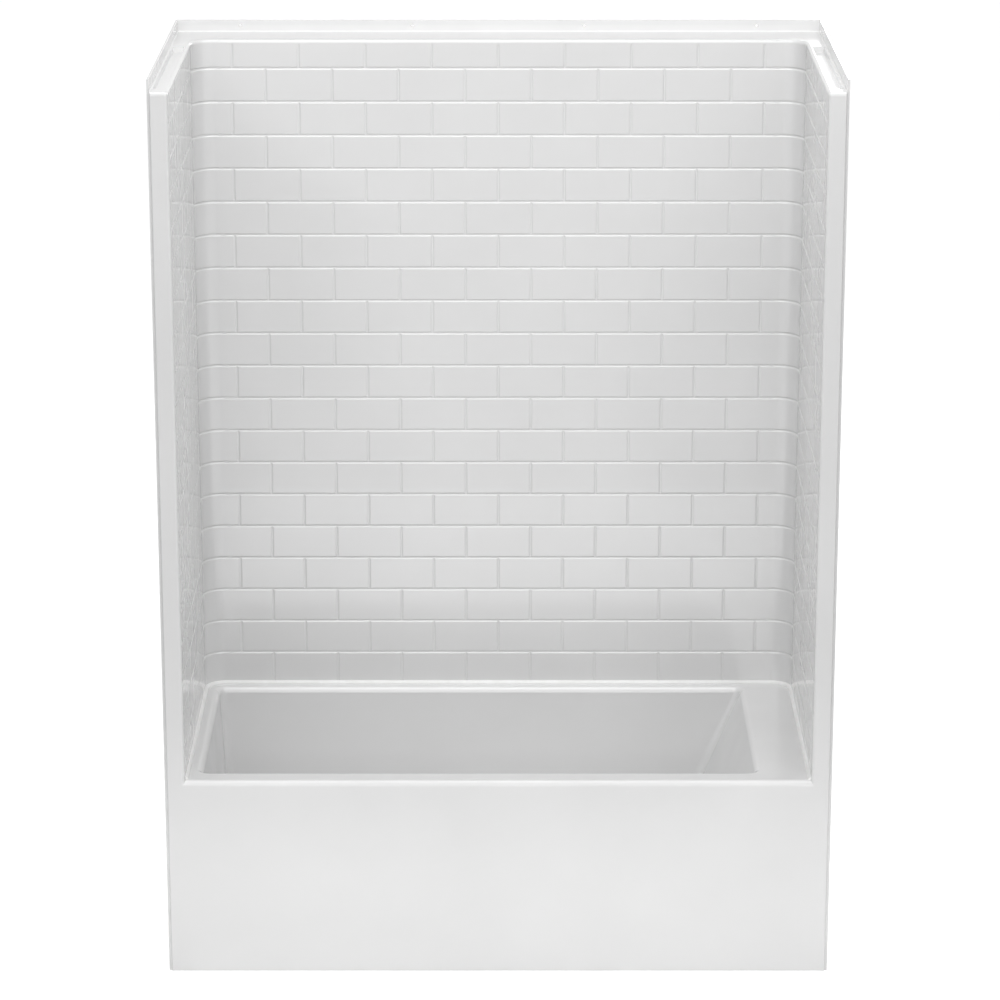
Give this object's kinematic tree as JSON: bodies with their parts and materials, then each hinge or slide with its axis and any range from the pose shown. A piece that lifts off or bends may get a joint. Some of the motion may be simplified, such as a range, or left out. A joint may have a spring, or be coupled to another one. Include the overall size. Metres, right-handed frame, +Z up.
{
  "type": "bathtub and shower enclosure",
  "caption": "Alcove bath with integral apron under three moulded tile-pattern shower walls with nailing flanges; left-end waste and overflow with a trip lever.",
  "frame": {"origin": "on the floor, midway across the width and midway from the apron face to the back of the nailing flange", "axes": "+X to the bather's right when facing the unit (the backrest end), +Y to the back wall, +Z up"},
  "size_m": [1.524, 0.85, 2.0642],
  "materials": {
    "gloss_white_shell": "high gloss moulded white",
    "white_sealant": "smooth satin bead",
    "plywood": "raw plywood",
    "softwood": "raw sawn softwood",
    "zinc_fasteners": "zinc plated",
    "raw_brass": "raw brass, lightly tarnished",
    "black_rubber": "matt black rubber",
    "polished_chrome": "polished chrome"
  },
  "bodies": {
    "shell": {"tub_section": "gloss_white_shell", "back_wall": "gloss_white_shell", "left_wall": "gloss_white_shell", "right_wall": "gloss_white_shell", "deck_sealant": "white_sealant", "seam_bolts": "zinc_fasteners", "seam_nuts": "zinc_fasteners", "seam_washers": "zinc_fasteners", "deck_bolts": "zinc_fasteners", "deck_nuts": "zinc_fasteners", "deck_washers": "zinc_fasteners", "apron_stiffener": "plywood", "apron_rail": "softwood", "floor_board": "plywood", "floor_bearers": "softwood", "back_deck_posts": "softwood", "left_deck_posts": "softwood", "backrest_board": "plywood", "back_wall_battens": "plywood", "left_wall_board": "plywood", "right_wall_board": "plywood", "left_jamb_batten": "softwood", "right_jamb_batten": "softwood", "back_ledge_board": "plywood", "drain_flange": "polished_chrome", "drain_gasket": "black_rubber", "drain_shoe": "raw_brass", "waste_arm": "raw_brass", "waste_tee": "raw_brass", "slip_nuts": "raw_brass", "slip_washers": "black_rubber", "tailpiece": "raw_brass", "overflow_tube": "raw_brass", "overflow_elbow": "raw_brass", "overflow_gasket": "black_rubber", "overflow_plate": "polished_chrome", "overflow_screws": "polished_chrome", "lever_bracket": "zinc_fasteners", "lever_pin": "zinc_fasteners"},
    "lever": {"trip_lever": "polished_chrome"},
    "lift": {"lift_rod": "raw_brass", "plunger": "raw_brass"}
  },
  "joints": [
    {"name": "lever_hinge", "type": "hinge", "parent": "shell", "child": "lever", "pos_m": [-0.67787, -0.049, 0.3], "axis": [0, -1, 0], "range_deg": [0, 30]},
    {"name": "plunger_slide", "type": "slide", "parent": "shell", "child": "lift", "axis": [0, 0, -1], "range_m": [0, 0.01829]}
  ],
  "couplings": [
    {"joint": "plunger_slide", "follows": "lever_hinge", "m_per_rad": 0.034931}
  ]
}
